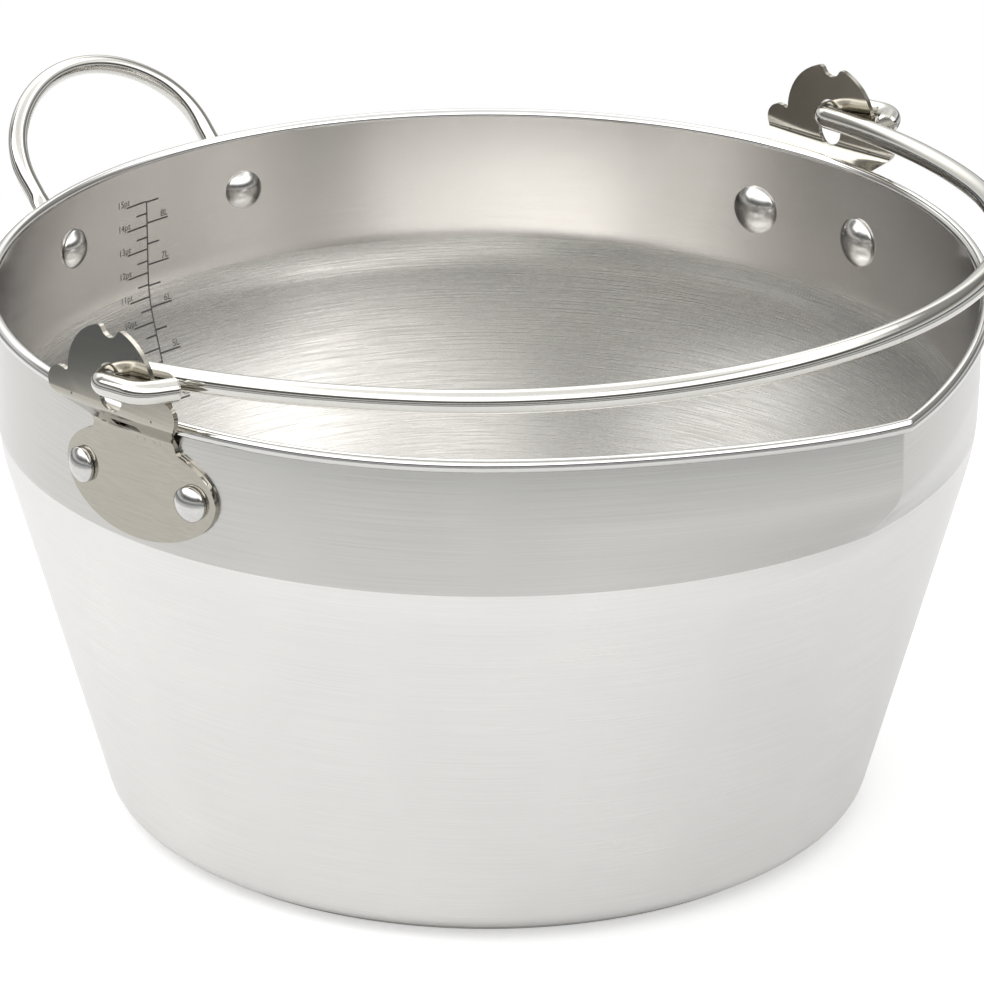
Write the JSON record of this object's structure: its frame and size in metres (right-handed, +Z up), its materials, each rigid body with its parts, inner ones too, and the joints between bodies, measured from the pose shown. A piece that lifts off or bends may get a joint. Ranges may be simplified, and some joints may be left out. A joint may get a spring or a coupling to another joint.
{
  "type": "preserving pan",
  "caption": "Stainless steel preserving pan with a coned wall, upright band, pouring spout, swinging bail on crowned ears, helper loop and sandwich base, for boiling and pouring jam.",
  "frame": {"origin": "centre of the underside of the base, on the surface that the pan stands on", "axes": "+X to the pouring spout, the helper loop at -X, the bail's ears at +Y and -Y, +Z up"},
  "size_m": [0.3595, 0.3388, 0.1948],
  "materials": {
    "pan_steel": "brushed",
    "cap_steel": "satin",
    "core_aluminium": "rolled",
    "ear_steel": "polished",
    "rod_steel": "polished",
    "rivet_steel": "polished"
  },
  "bodies": {
    "pan": {"pan_body": "pan_steel", "base_core": "core_aluminium", "base_cap": "cap_steel", "front_ear": "ear_steel", "back_ear": "ear_steel", "helper_handle": "rod_steel", "front_ear_rivet_rear": "rivet_steel", "front_ear_rivet_fore": "rivet_steel", "back_ear_rivet_rear": "rivet_steel", "back_ear_rivet_fore": "rivet_steel", "helper_rivet_back": "rivet_steel", "helper_rivet_front": "rivet_steel"},
    "bail": {"bail_handle": "rod_steel"}
  },
  "joints": [
    {"name": "bail_swing", "type": "hinge", "parent": "pan", "child": "bail", "pos_m": [0.002, 0, 0.1803], "axis": [0, -1, 0], "range_deg": [0, 173]}
  ]
}
